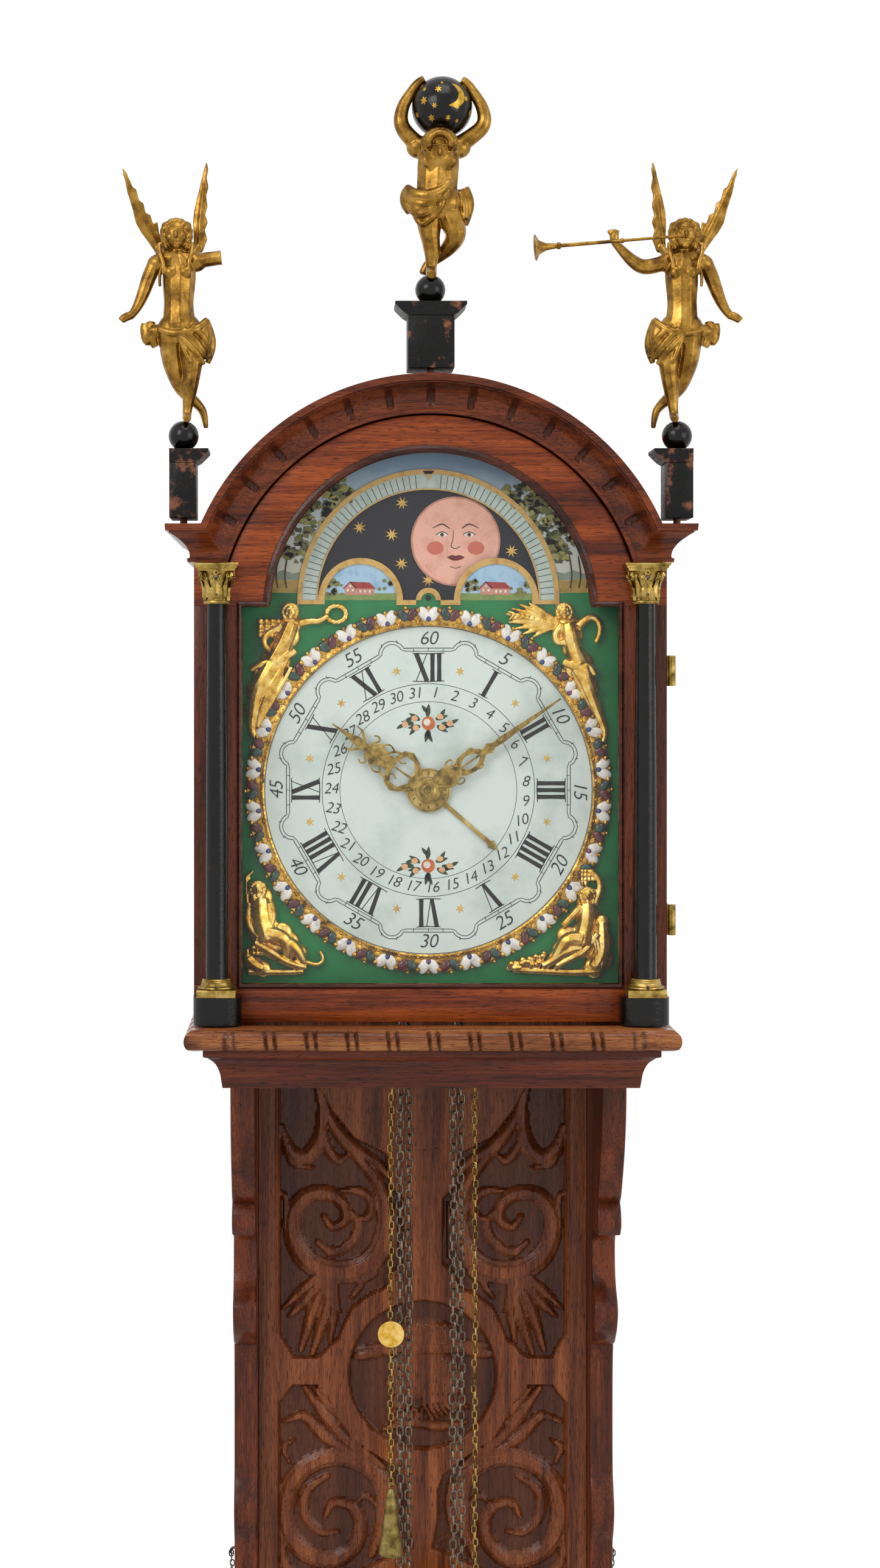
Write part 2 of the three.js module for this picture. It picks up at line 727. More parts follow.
// Door: frame with a rebate for the glass
const doorBack = hoodDepth + seatGap;
const doorFront = hoodDepth + doorThick;
const doorShoulder = corniceFoot - doorGap;
const doorFoot = doorGap;
{
  const start = Math.asin((doorShoulder - archCentreHeight) / doorArchRadius);
  const shape = outline([
    [-hoodHalfWidth, doorFoot],
    [hoodHalfWidth, doorFoot],
    [hoodHalfWidth, doorShoulder],
    ...arcPoints(0, archCentreHeight, doorArchRadius, start, Math.PI - start, archSteps),
    [-hoodHalfWidth, doorShoulder],
  ]);
  withHoles(shape, brokenArch(0));
  const rebate = upright(outline(brokenArch(rebateWidth)), doorBack - overrun, rebateDepth + overrun);
  add('door_frame', cut(upright(shape, doorBack, doorFront - doorBack), rebate), oak);
  const glassBack = doorBack + rebateDepth - seatGap - glassThick;
  add('door_glass', upright(outline(brokenArch(rebateWidth - glassFit)), glassBack, glassThick), clearGlass);
}
['hinge_lower', 'hinge_upper'].forEach((name, i) => {
  const axis = hoodHalfWidth + hingeAxisOffset;
  const foot = hingeHeights[i] - hingeHeight / 2;
  const leaf = box(
    hoodHalfWidth + seatGap, hoodHalfWidth + seatGap + hingeLeafThick,
    -doorFront, -doorFront + doorThick + hingeLeafReach, foot, foot + hingeHeight,
  );
  const knuckle = level(outline(circlePoints(axis, -doorFront, knuckleRadius, pinSides + 2)), foot, hingeHeight);
  add(name, join(leaf, knuckle), brass);
});

// Columns with plinths, and gilt capitals, on the door's face
const columnProfileShares = [
  [0, 0], [1.45, 0], [1.5, 0.012], [1.42, 0.024], [1.15, 0.034], [1.2, 0.044], [1, 0.052],
  [1.02, 0.35], [0.88, 0.99], [0.95, 1], [0, 1],
];
const plinthCentreDepth = doorFront + seatGap + plinthDepth / 2;
const columnDepth = doorFront + columnForward;
const capitalTop = doorShoulder - seatGap;
const capitalFoot = capitalTop - capitalHeight;
[['left', -1], ['right', 1]].forEach(([name, side]) => {
  const foot = doorFoot + plinthHeight;
  const height = capitalFoot - seatGap - foot;
  const shaft = moved(turned(
    columnProfileShares.map(([r, h]) => [r * columnRadius, h * height]), turnedSides - 2,
  ), side * columnCentre, -columnDepth, foot);
  const centre = side * (hoodHalfWidth - plinthWidth / 2);
  const plinth = box(
    centre - plinthWidth / 2, centre + plinthWidth / 2,
    -plinthCentreDepth - plinthDepth / 2, -plinthCentreDepth + plinthDepth / 2, doorFoot, foot + overrun / 2,
  );
  add('column_' + name, join(plinth, shaft), ebonised);
  const bellShares = [[0, 0], [0.52, 0], [0.56, 0.06], [0.5, 0.12], [0.6, 0.4], [0.74, 0.5], [0.66, 0.56],
    [0.92, 0.78], [0.8, 0.86], [0, 0.86]];
  const bell = moved(turned(
    bellShares.map(([r, h]) => [r * capitalWidth / 2, h * capitalHeight]), pinSides + 4,
  ), side * columnCentre, -columnDepth, capitalFoot);
  const head = (columnForward - seatGap) * 0.98;
  const abacus = box(
    side * columnCentre - capitalWidth / 2, side * columnCentre + capitalWidth / 2,
    -columnDepth - head, -columnDepth + head, capitalFoot + capitalHeight * 0.84, capitalTop,
  );
  const wall = box(
    side * columnCentre - capitalWidth, side * columnCentre + capitalWidth,
    -doorFront - seatGap, -doorBack, capitalFoot - overrun, capitalTop + overrun,
  );
  add('capital_' + name, cut(join(bell, abacus), wall), gilt);
});

// Finials: post, cap and ball in one turned and sawn block, on a dowel
function finialBlock(width, height, capLeft, capRight, ballAside) {
  const half = width / 2;
  const deep = postDepth / 2;
  const post = box(-half, half, -deep, deep, dowelHeight, dowelHeight + height);
  const dowel = level(outline(circlePoints(0, 0, dowelRadius, pinSides)), 0, dowelHeight + overrun);
  const foot = dowelHeight + height - overrun / 10;
  const ring = (left, right, out, z) => [
    [-half - left, -deep - out, z], [half + right, -deep - out, z], [half + right, deep + out, z],
    [-half - left, deep + out, z],
  ];
  const flare = overrun;
  const cap = loft([
    ring(0, 0, 0, foot),
    ring(capLeft, capRight, flare, foot + capHeight * 0.8),
    ring(capLeft, capRight, flare, foot + capHeight),
  ]);
  const globe = ball(ballAside, 0, foot + capHeight + ballRadius * 0.94, ballRadius);
  return join(post, dowel, cap, globe);
}
const blockTop = (height) => dowelHeight + height - overrun / 10 + capHeight + ballRadius * 1.94;
const sideBlockFoot = corniceFoot + corniceHeight + seatGap;
const centreBlockFoot = archCentreHeight + corniceRadius + corniceHeight + seatGap;
const sideBlock = finialBlock(sidePostWidth, sidePostHeight, overrun / 10, capOverhang, 0);
add('finial_block_left', sideBlock, ebonised, -sideFinialCentre, -finialDepth, sideBlockFoot);
add('finial_block_right', finialBlock(sidePostWidth, sidePostHeight, capOverhang, overrun / 10, 0), ebonised,
  sideFinialCentre, -finialDepth, sideBlockFoot);
add('finial_block_center', finialBlock(centrePostWidth, centrePostHeight, capOverhang, capOverhang, 0), ebonised,
  0, -finialDepth, centreBlockFoot);

// Winged figure: places as shares of its height, for the one on the left
const wingedTrunkShares = [
  [-0.01, 0, 0.38, 0.07, 0.06], [-0.02, -0.01, 0.45, 0.1, 0.075], [-0.025, -0.01, 0.56, 0.085, 0.065],
  [-0.02, -0.01, 0.68, 0.1, 0.075], [-0.02, 0, 0.77, 0.11, 0.07], [-0.03, 0, 0.81, 0.075, 0.05],
  [-0.035, 0, 0.85, 0.035, 0.035],
];
const wingedHeadShares = [[-0.035, -0.01, 0.915, 0.085]];
const wingedStandingLegShares = [
  [0.03, -0.01, 0.45, 0.06], [0.045, -0.02, 0.3, 0.055], [0.035, -0.025, 0.2, 0.042], [0.025, -0.01, 0.12, 0.038],
  [0.01, 0, 0.03, 0.022], [0.01, 0, 0, 0.024],
];
const wingedRaisedLegShares = [
  [-0.06, 0, 0.45, 0.062], [-0.055, 0.01, 0.3, 0.058], [-0.03, 0.02, 0.18, 0.044], [0.03, 0.06, 0.12, 0.034],
  [0.09, 0.09, 0.08, 0.024], [0.11, 0.08, 0.01, 0.014],
];
const wingedHangingArmShares = [
  [-0.11, 0, 0.79, 0.042], [-0.17, 0, 0.72, 0.04], [-0.2, -0.01, 0.62, 0.033], [-0.25, -0.03, 0.53, 0.024],
  [-0.29, -0.04, 0.5, 0.03],
];
const wingedStumpShares = [[0.04, 0, 0.79, 0.04], [0.11, -0.01, 0.795, 0.042], [0.18, -0.02, 0.805, 0.038]];
const wingedPlayingArmShares = [
  [0.04, 0, 0.77, 0.042], [0.16, -0.02, 0.75, 0.042], [0.24, -0.05, 0.79, 0.036], [0.31, -0.06, 0.86, 0.024],
  [0.32, -0.06, 0.93, 0.03],
];
const wingedSashShares = [
  [-0.19, 0.03, 0.42, 0.035], [-0.1, -0.02, 0.47, 0.06], [0.02, -0.07, 0.42, 0.05], [0.1, -0.04, 0.45, 0.065],
  [0.14, 0.02, 0.34, 0.035],
];
const outerWingShares = [
  [-0.12, 0.82], [-0.17, 0.94], [-0.22, 0.99], [-0.24, 1.1], [-0.285, 1.22], [-0.27, 1.22], [-0.2, 1.1],
  [-0.14, 0.99], [-0.07, 0.86],
];
const innerWingShares = [
  [0.03, 0.84], [0.04, 0.98], [0.07, 1.08], [0.1, 1.27], [0.115, 1.22], [0.11, 1.08], [0.1, 0.88], [0.07, 0.82],
];
const wingBack = 0.1;
const wingSpread = 0.35;
function wing(shares, turn) {
  const shape = outline(scaled(shares, wingedHeight));
  const root = shares[0][0] * wingedHeight;
  return upright(shape, -wingBack * wingedHeight, wingThick)
    .translate(-root, -wingBack * wingedHeight, 0).rotateZ(turn).translate(root, wingedHeight * 0.05, 0);
}
function wingedFigure(raisedArm) {
  const size = (shares) => scaled(shares, wingedHeight);
  const wingRoot = limb(size([[-0.1, 0.02, 0.84, 0.03], [0.04, 0.02, 0.84, 0.03]]));
  return join(
    trunk(size(wingedTrunkShares)),
    ball(...size(wingedHeadShares)[0]),
    limb(size(wingedStandingLegShares)),
    limb(size(wingedRaisedLegShares)),
    limb(size(wingedHangingArmShares)),
    limb(size(raisedArm)),
    limb(size(wingedSashShares)),
    wing(outerWingShares, wingSpread),
    wing(innerWingShares, -wingSpread),
    wingRoot,
  );
}
function mirrored(geometry) {
  return turnedOut(geometry.clone().scale(-1, 1, 1));
}
const sideFigureFoot = sideBlockFoot + blockTop(sidePostHeight) + seatGap;
add('figure_left', wingedFigure(wingedStumpShares), gilt, -sideFinialCentre, -finialDepth, sideFigureFoot);

// The trumpet runs from the mouth of the right figure past its raised hand
const trumpetShares = [[-0.02, -0.1, 0.9], [0.32, -0.078, 0.905], [0.6, -0.1, 0.86], [0.7, -0.105, 0.84]];
function trumpetPiece(extra) {
  const places = scaled(trumpetShares, wingedHeight);
  const radii = [trumpetRadius, trumpetRadius, trumpetRadius * 1.3, trumpetBellRadius];
  return limb(places.map((place, i) => [...place, radii[i] + extra]), pinSides);
}
const trumpet = mirrored(trumpetPiece(0));
const player = cut(mirrored(wingedFigure(wingedPlayingArmShares)), mirrored(trumpetPiece(seatGap)));
add('figure_right', player, gilt, sideFinialCentre, -finialDepth, sideFigureFoot);
add('trumpet', trumpet, gilt, sideFinialCentre, -finialDepth, sideFigureFoot);

// The middle figure bears a globe on its shoulders: shares of the height from sole to globe centre
const bearerTrunkShares = [
  [0.02, 0, 0.36, 0.1, 0.08], [0.035, 0, 0.45, 0.13, 0.1], [0.04, -0.01, 0.56, 0.125, 0.095],
  [0.05, -0.01, 0.68, 0.13, 0.1], [0.05, 0.02, 0.8, 0.12, 0.08], [0.055, 0.03, 0.88, 0.05, 0.05],
];
const bearerHeadShares = [[0.045, -0.09, 0.76, 0.085]];
const bearerStandingLegShares = [
  [-0.01, 0, 0.42, 0.075], [0, -0.02, 0.3, 0.065], [0.005, -0.03, 0.22, 0.05], [0.015, -0.01, 0.12, 0.042],
  [0.005, 0, 0.03, 0.028], [0.005, 0, 0, 0.03],
];
const bearerBentLegShares = [
  [0.1, 0, 0.42, 0.075], [0.145, -0.03, 0.3, 0.065], [0.15, -0.03, 0.22, 0.055], [0.07, 0.04, 0.13, 0.04],
  [0, 0.08, 0.08, 0.028], [-0.04, 0.08, 0.02, 0.024],
];
const bearerLeftArmShares = [
  [-0.05, 0, 0.8, 0.05], [-0.12, -0.01, 0.85, 0.045], [-0.18, -0.02, 0.93, 0.04], [-0.15, -0.02, 1.04, 0.03],
  [-0.09, -0.03, 1.12, 0.03],
];
const bearerRightArmShares = [
  [0.16, 0, 0.8, 0.05], [0.24, -0.01, 0.84, 0.045], [0.33, -0.02, 0.92, 0.04], [0.3, -0.02, 1.03, 0.03],
  [0.24, -0.03, 1.11, 0.03],
];
const bearerSashShares = [
  [-0.15, 0.02, 0.46, 0.05], [-0.06, -0.05, 0.4, 0.08], [0.08, -0.07, 0.42, 0.07], [0.2, -0.01, 0.45, 0.06],
  [0.22, 0.02, 0.34, 0.035],
];
const globeShares = [[0.07, 0, 1]];
{
  const size = (shares) => scaled(shares, bearerHeight);
  const [gx, gy, gz] = size(globeShares)[0];
  const body = join(
    trunk(size(bearerTrunkShares)),
    ball(...size(bearerHeadShares)[0]),
    limb(size(bearerStandingLegShares)),
    limb(size(bearerBentLegShares)),
    limb(size(bearerLeftArmShares)),
    limb(size(bearerRightArmShares)),
    limb(size(bearerSashShares)),
  );
  const foot = centreBlockFoot + blockTop(centrePostHeight) + seatGap;
  const bearer = cut(body, ball(gx, gy, gz, globeRadius + seatGap, turnedSides));
  add('figure_center', bearer, gilt, 0, -finialDepth, foot);
  add('globe', ball(0, 0, 0, globeRadius, turnedSides), ebonised, gx, gy - finialDepth, foot + gz);
}

// Dial plate with its moon opening, arbor hole and feet
const dialBack = dialDepth - dialThick;
{
  const shape = outline(brokenArch(dialMargin));
  const hump = (x) => arcPoints(x, moonCentreHeight, humpRadius, 0, Math.PI, turnedSides);
  withHoles(shape, [
    ...arcPoints(0, moonCentreHeight, moonApertureRadius, Math.PI, 0, archSteps),
    ...hump(humpCentre),
    ...arcPoints(0, moonCentreHeight, moonTabRadius, 0, Math.PI, pinSides),
    ...hump(-humpCentre),
  ], circlePoints(0, dialCentreHeight, datePipeRadius + runGap, turnedSides),
  circlePoints(0, moonCentreHeight, moonPinRadius + runGap, pinSides));
  const plate = upright(shape, dialBack, dialThick);
  const footLow = frameBottomHeight + 3 * pillarWidth;
  const footHigh = frameTopHeight - 2 * pillarWidth;
  const feet = [-pillarCentre, pillarCentre].flatMap((x) => [footLow, footHigh].map((z) => (
    rod(x, z, dialFootRadius, frontPillarFace + seatGap, dialBack + dialThick / 2)
  )));
  add('dial_plate', join(plate, ...feet), dialPaint);
}

// Cast ring of lobes round the chapter disc
{
  const outer = [];
  const middleRadius = ringRadius - ringLobeDepth;
  for (let i = 0; i < 3 * ringLobes; i += 1) {
    const angle = 2 * Math.PI * i / (3 * ringLobes);
    const radius = middleRadius + ringLobeDepth * [0, 0.9, 0.9][i % 3];
    outer.push([radius * Math.cos(angle), dialCentreHeight + radius * Math.sin(angle)]);
  }
  const shape = withHoles(outline(outer), circlePoints(0, dialCentreHeight, chapterRadius, wheelSides));
  add('dial_ring', upright(shape, dialDepth + seatGap, ringThick), enamel);
}

// Cast corner figures, as low relief on the dial: places as shares of the corner's height
const upperSpandrelShares = [
  [[0.18, 0.28, 0.13], [0.2, 0.5, 0.15], [0.3, 0.78, 0.13]],
  [[0.18, 0.3, 0.12], [0.14, 0.12, 0.07], [0.2, -0.12, 0.05]],
  [[0.3, 0.74, 0.07], [0.5, 0.7, 0.05], [0.72, 0.82, 0.06]],
  [[0.38, 0.82, 0.06], [0.42, 0.96, 0.09]],
  [[0.3, 0.72, 0.08], [0.12, 0.68, 0.1]],
];
const lowerSpandrelShares = [
  [[0.24, 0.34, 0.13], [0.22, 0.52, 0.13], [0.26, 0.68, 0.1]],
  [[0.26, 0.7, 0.06], [0.27, 0.84, 0.085]],
  [[0.24, 0.36, 0.13], [0.5, 0.34, 0.09], [0.62, 0.14, 0.06]],
  [[0.2, 0.34, 0.1], [0.14, 0.12, 0.1], [0.34, 0.1, 0.08], [0.6, 0.1, 0.05], [0.86, 0.12, 0.05]],
  [[0.14, 0.6, 0.06], [0.06, 0.92, 0.03]],
];
function spandrel(shares, side, foot) {
  const flat = spandrelThick / (spandrelSize * 0.15);
  const corner = glassHalfWidth - overrun;
  const pieces = shares.map((row) => limb(row.map(([x, z, r]) => (
    [x * spandrelSize, 0, z * spandrelSize, r * spandrelSize]
  )), limbSides - 1).scale(1, flat, 1));
  const relief = cut(join(...pieces), box(-corner, corner, 0, corner, -corner, corner));
  const placed = side > 0 ? mirrored(relief) : relief;
  return placed.translate(side * corner, -dialDepth - seatGap, foot);
}
{
  const low = glassBottomHeight + overrun;
  const high = glassShoulderHeight - spandrelSize;
  const clear = rod(0, dialCentreHeight, ringRadius + seatGap, dialBack,
    dialDepth + ringThick + spandrelThick, wheelSides);
  add('spandrel_upper_left', mainBody(cut(spandrel(upperSpandrelShares, -1, high), clear)), gilt);
  add('spandrel_upper_right', mainBody(cut(spandrel(upperSpandrelShares, 1, high), clear)), gilt);
  add('spandrel_lower_left', mainBody(cut(spandrel(lowerSpandrelShares, -1, low), clear)), gilt);
  add('spandrel_lower_right', mainBody(cut(spandrel(lowerSpandrelShares, 1, low), clear)), gilt);
}

// Moon disc behind the opening, on a pin through the tab between the humps
{
  const back = dialBack - seatGap * 4 - moonDiscThick;
  const disc = rod(0, moonCentreHeight, moonDiscRadius, back, back + moonDiscThick, wheelSides);
  const pin = rod(0, moonCentreHeight, moonPinRadius, back, dialDepth + handThick);
  add('moon_disc', join(disc, pin), moonPaint);
}

// Hands: half outlines as [along, aside] shares of their length, and their pierced openings
const hourHalfShares = [
  [0.04, 0.05], [0.13, 0.05], [0.2, 0.15], [0.28, 0.19], [0.36, 0.16], [0.4, 0.06], [0.47, 0.06], [0.55, 0.11],
  [0.6, 0.06], [0.66, 0.03], [0.72, 0.035], [0.76, 0.014], [1, 0.006],
];
const hourOpeningShares = [[[0.18, 0.05], [0.24, 0.13], [0.32, 0.13], [0.36, 0.05]]];
const minuteHalfShares = [
  [0.03, 0.02], [0.09, 0.06], [0.15, 0.07], [0.2, 0.03], [0.25, 0.06], [0.31, 0.07], [0.37, 0.06], [0.42, 0.02],
  [0.46, 0.035], [0.5, 0.015], [0.54, 0.022], [1, 0.005],
];
const minuteOpeningShares = [[[0.24, 0.015], [0.28, 0.045], [0.34, 0.045], [0.38, 0.015]]];
const dateHalfShares = [[0.05, 0.03], [0.5, 0.022], [0.88, 0.02], [0.9, 0.045], [0.93, 0.04], [1, 0.006]];
function handShape(halfShares, length, angleShare) {
  const angle = Math.PI / 2 - 2 * Math.PI * angleShare;
  const place = ([u, v]) => [
    length * (u * Math.cos(angle) - v * Math.sin(angle)),
    dialCentreHeight + length * (u * Math.sin(angle) + v * Math.cos(angle)),
  ];
  const other = halfShares.map(([u, v]) => [u, -v]).reverse();
  return [...other, ...halfShares].map(place);
}
function hand(halfShares, openings, length, angleShare, back, hub, bore) {
  const blade = upright(outline(handShape(halfShares, length, angleShare)), back, handThick);
  const collar = rod(0, dialCentreHeight, hub, back, back + handThick, turnedSides);
  const holes = openings.map((opening) => (
    upright(outline(handShape(opening, length, angleShare)), back - overrun, handThick + 2 * overrun)
  ));
  const through = rod(0, dialCentreHeight, bore, back - overrun, back + handThick + overrun, turnedSides);
  return cut(join(blade, collar), ...holes, through);
}
function pipe(outerRadius, innerRadius, back, front) {
  const shape = outline(circlePoints(0, dialCentreHeight, outerRadius, turnedSides));
  withHoles(shape, circlePoints(0, dialCentreHeight, innerRadius, turnedSides));
  return upright(shape, back, front - back);
}

// Toothed wheels: three points to a tooth, its flanks drawn in to a pointed tip
const toothRootShare = 0.3;
const leafRootShare = 0.24;
const wheelToothShares = { root: 1.2, tip: 0.95 };
const pinionLeafShares = { root: 1.3, tip: 0.55 };
function toothPoints(x, z, teeth, module, phase, isPinion) {
  const pitch = module * teeth / 2;
  const shares = isPinion ? pinionLeafShares : wheelToothShares;
  const rootRadius = pitch - module * shares.root;
  const tipRadius = pitch + module * shares.tip;
  const rootHalf = isPinion ? leafRootShare : toothRootShare;
  const step = 2 * Math.PI / teeth;
  return Array.from({ length: teeth }, (_, i) => i * step + phase).flatMap((angle) => [
    [rootRadius, -rootHalf], [tipRadius, 0], [rootRadius, rootHalf],
  ].map(([radius, half]) => [
    x + radius * Math.cos(angle + half * step), z + radius * Math.sin(angle + half * step),
  ]));
}
function gear(x, z, teeth, module, phase, back, thick, isPinion = false) {
  return upright(outline(toothPoints(x, z, teeth, module, phase, isPinion)), back, thick);
}
// The phase that puts a tooth of the driver, and a gap of the follower, on the line between their axes
function meshAngle(x0, z0, x1, z1) {
  return Math.atan2(z1 - z0, x1 - x0);
}
function gapPhase(angle, teeth) {
  return angle + Math.PI + Math.PI / teeth;
}
function openSpokes(x, z, inner, outer, count, spokeShare) {
  const step = 2 * Math.PI / count;
  return Array.from({ length: count }, (_, i) => {
    const from = i * step + step * spokeShare / 2;
    const to = (i + 1) * step - step * spokeShare / 2;
    return [...arcPoints(x, z, outer, from, to, 3), ...arcPoints(x, z, inner, to, from, 1)];
  });
}
function wheel(x, z, teeth, module, phase, back, thick) {
  const shape = outline(toothPoints(x, z, teeth, module, phase, false));
  const pitch = module * teeth / 2;
  withHoles(shape, ...openSpokes(x, z, pitch * 0.3, pitch - module * 4, wheelSpokes, 0.2));
  return upright(shape, back, thick);
}
// A spool-shaped sprocket: the chain lies in its groove between two flanges
function sprocket(x, z, radius, middle, bore) {
  const groove = radius - chainRadius - 2 * seatGap;
  const half = chainRadius + seatGap + flangeThick;
  const outer = radius + flangeRise;
  return turnedAlongY([
    [bore, middle - half], [outer, middle - half], [groove, middle - half + flangeThick],
    [groove, middle + half - flangeThick], [outer, middle + half], [bore, middle + half],
    [bore, middle - half],
  ], x, z, turnedSides);
}

const greatWheelBack = goingChainDepth - chainRadius - flangeThick - seatGap - 3 * wheelThick;
const greatMesh = meshAngle(0, greatAxisHeight, 0, dialCentreHeight);
add('great_wheel', join(
  wheel(0, greatAxisHeight, greatTeeth, greatModule, greatMesh, greatWheelBack, wheelThick),
  sprocket(0, greatAxisHeight, sprocketRadius, goingChainDepth, 0),
  rod(0, greatAxisHeight, 2 * arborRadius, greatWheelBack, goingChainDepth),
  rod(0, greatAxisHeight, arborRadius, middleBarBack, movementFront),
), brass);

// Centre arbor: pinion and wheel, long enough to carry the hands
const centreWheelBack = middleBarBack + barThick + 2 * wheelThick;
const centreMesh = meshAngle(0, dialCentreHeight, thirdArborAside, thirdAxisHeight);
const dateHandBack = dialDepth + handThick;
const alarmDiscBack = dateHandBack + handStep;
const hourHandBack = alarmDiscBack + handStep;
const minuteHandBack = hourHandBack + handStep;
add('center_wheel', join(
  wheel(0, dialCentreHeight, centreTeeth, centreModule, centreMesh, centreWheelBack, wheelThick),
  gear(0, dialCentreHeight, centrePinionLeaves, greatModule, gapPhase(greatMesh, centrePinionLeaves),
    greatWheelBack - wheelThick, pinionLength, true),
  rod(0, dialCentreHeight, centreArborRadius, middleBarBack, minuteHandBack + 3 * handThick),
), brass);
const escapeWheelBack = centreWheelBack + 2 * wheelThick;
const thirdWheelBack = escapeWheelBack + 4 * wheelThick;
const thirdMesh = meshAngle(thirdArborAside, thirdAxisHeight, 0, escapeAxisHeight);
add('third_wheel', join(
  wheel(thirdArborAside, thirdAxisHeight, thirdTeeth, thirdModule, thirdMesh, thirdWheelBack, wheelThick),
  gear(thirdArborAside, thirdAxisHeight, thirdPinionLeaves, centreModule,
    gapPhase(centreMesh, thirdPinionLeaves), centreWheelBack - wheelThick, pinionLength, true),
  rod(thirdArborAside, thirdAxisHeight, arborRadius, middleBarBack, movementFront),
), brass);

// Escape wheel: pointed teeth that lean forward
{
  const step = 2 * Math.PI / escapeTeeth;
  const points = Array.from({ length: escapeTeeth }, (_, i) => i * step).flatMap((angle) => [
    [escapeRadius * 0.84, 0], [escapeRadius, 0.1], [escapeRadius * 0.84, 0.45],
  ].map(([radius, share]) => [
    radius * Math.cos(angle + share * step), escapeAxisHeight + radius * Math.sin(angle + share * step),
  ]));
  const shape = withHoles(outline(points), ...openSpokes(0, escapeAxisHeight, escapeRadius * 0.3,
    escapeRadius * 0.72, wheelSpokes, 0.3));
  add('escape_wheel', join(
    upright(shape, escapeWheelBack, wheelThick),
    gear(0, escapeAxisHeight, escapePinionLeaves, thirdModule, gapPhase(thirdMesh, escapePinionLeaves),
      thirdWheelBack - wheelThick, pinionLength, true),
    rod(0, escapeAxisHeight, arborRadius, middleBarBack, movementFront),
  ), brass);
}

// Anchor: two pallets over the escape wheel, its arbor and the crutch behind the movement
{
  const clear = escapeRadius + 2 * runGap + palletReach;
  const spread = 0.72;
  const place = (share, radius) => [
    radius * Math.sin(share * spread), escapeAxisHeight + radius * Math.cos(share * spread),
  ];
  const arm = (share) => {
    const [x, z] = place(share, clear);
    const [tx, tz] = place(share, escapeRadius + 2 * runGap);
    const along = palletWidth * Math.sign(share);
    return outline([
      [0, anchorAxisHeight + palletWidth], [x + along, z + palletWidth], [tx + along, tz], [tx, tz],
      [x - along, z - palletWidth / 2], [0, anchorAxisHeight - palletWidth],
    ]);
  };
  const arms = [1, -1].map((share) => upright(arm(share), escapeWheelBack, wheelThick));
  const crutchBack = pendulumDepth + eyeWall + 2 * crutchThick;
  const crutchFoot = anchorAxisHeight - crutchDrop;
  const prong = rodRadius + runGap;
  const strip = box(-crutchThick, crutchThick, -crutchBack - crutchThick, -crutchBack,
    crutchFoot - crutchThick, anchorAxisHeight + crutchThick);
  const bridge = box(-prong - crutchThick, prong + crutchThick, -crutchBack - crutchThick, -crutchBack,
    crutchFoot - 2 * crutchThick, crutchFoot);
  const prongs = [-1, 1].map((side) => box(
    side > 0 ? prong : -prong - crutchThick, side > 0 ? prong + crutchThick : -prong,
    -crutchBack - crutchThick / 2, -pendulumDepth + rodRadius, crutchFoot - 2 * crutchThick, crutchFoot,
  ));
  add('anchor', join(
    ...arms,
    rod(0, anchorAxisHeight, 2 * arborRadius, escapeWheelBack - wheelThick, escapeWheelBack + 2 * wheelThick),
    rod(0, anchorAxisHeight, arborRadius, crutchBack, movementFront),
    strip, bridge, ...prongs,
  ), steel);
}

// Pendulum: an eye on the cock's pin, a rod and a lens-shaped bob
{
  const eye = turnedAlongY([
    [rodRadius + runGap, pendulumDepth - rodRadius], [rodRadius + eyeWall, pendulumDepth - rodRadius],
    [rodRadius + eyeWall, pendulumDepth + rodRadius], [rodRadius + runGap, pendulumDepth + rodRadius],
    [rodRadius + runGap, pendulumDepth - rodRadius],
  ], 0, anchorAxisHeight, pinSides + 4);
  const top = anchorAxisHeight - rodRadius - eyeWall * 0.7;
  const stem = level(outline(circlePoints(0, -pendulumDepth, rodRadius, pinSides)), bobHeight, top - bobHeight);
  const bobShares = [[0, -0.5], [0.5, -0.42], [0.85, -0.2], [1, 0], [0.85, 0.2], [0.5, 0.42], [0, 0.5]];
  const bob = turnedAlongY(bobShares.map(([r, d]) => [r * bobRadius, pendulumDepth + d * bobThick]),
    0, bobHeight, wheelSides / 2);
  add('pendulum', join(eye, stem, bob), brass);
}
add('pendulum_cock', join(
  box(-cockHalfWidth, cockHalfWidth, -boardThick - seatGap - cockThick, -boardThick - seatGap,
    anchorAxisHeight - cockHeight / 2, anchorAxisHeight + cockHeight / 2),
  rod(0, anchorAxisHeight, rodRadius, boardThick + seatGap + cockThick / 2, pendulumDepth + eyeWall),
), brass);

// Motion work behind the dial: cannon pinion and minute hand, minute wheel, hour wheel and hand
const cannonBack = movementFront + 2 * seatGap;
const cannonMesh = meshAngle(0, dialCentreHeight, -minuteArborAside, minuteAxisHeight);
const hourWheelBack = cannonBack + 2 * wheelThick + runGap;
const hourMesh = meshAngle(-minuteArborAside, minuteAxisHeight, 0, dialCentreHeight);
add('minute_hand', cut(
  join(
    hand(minuteHalfShares, minuteOpeningShares, minuteHandLength, minuteAngleShare, minuteHandBack,
      handHubRadius * 0.8, centreArborRadius),
    pipe(minutePipeRadius, centreArborRadius / 2, cannonBack, minuteHandBack + handThick),
    gear(0, dialCentreHeight, cannonTeeth, minuteModule, cannonMesh, cannonBack, wheelThick),
  ),
  rod(0, dialCentreHeight, centreArborRadius + runGap, cannonBack - overrun,
    minuteHandBack + handThick + overrun, turnedSides),
), brass);
const minuteStudRadius = 1.2;
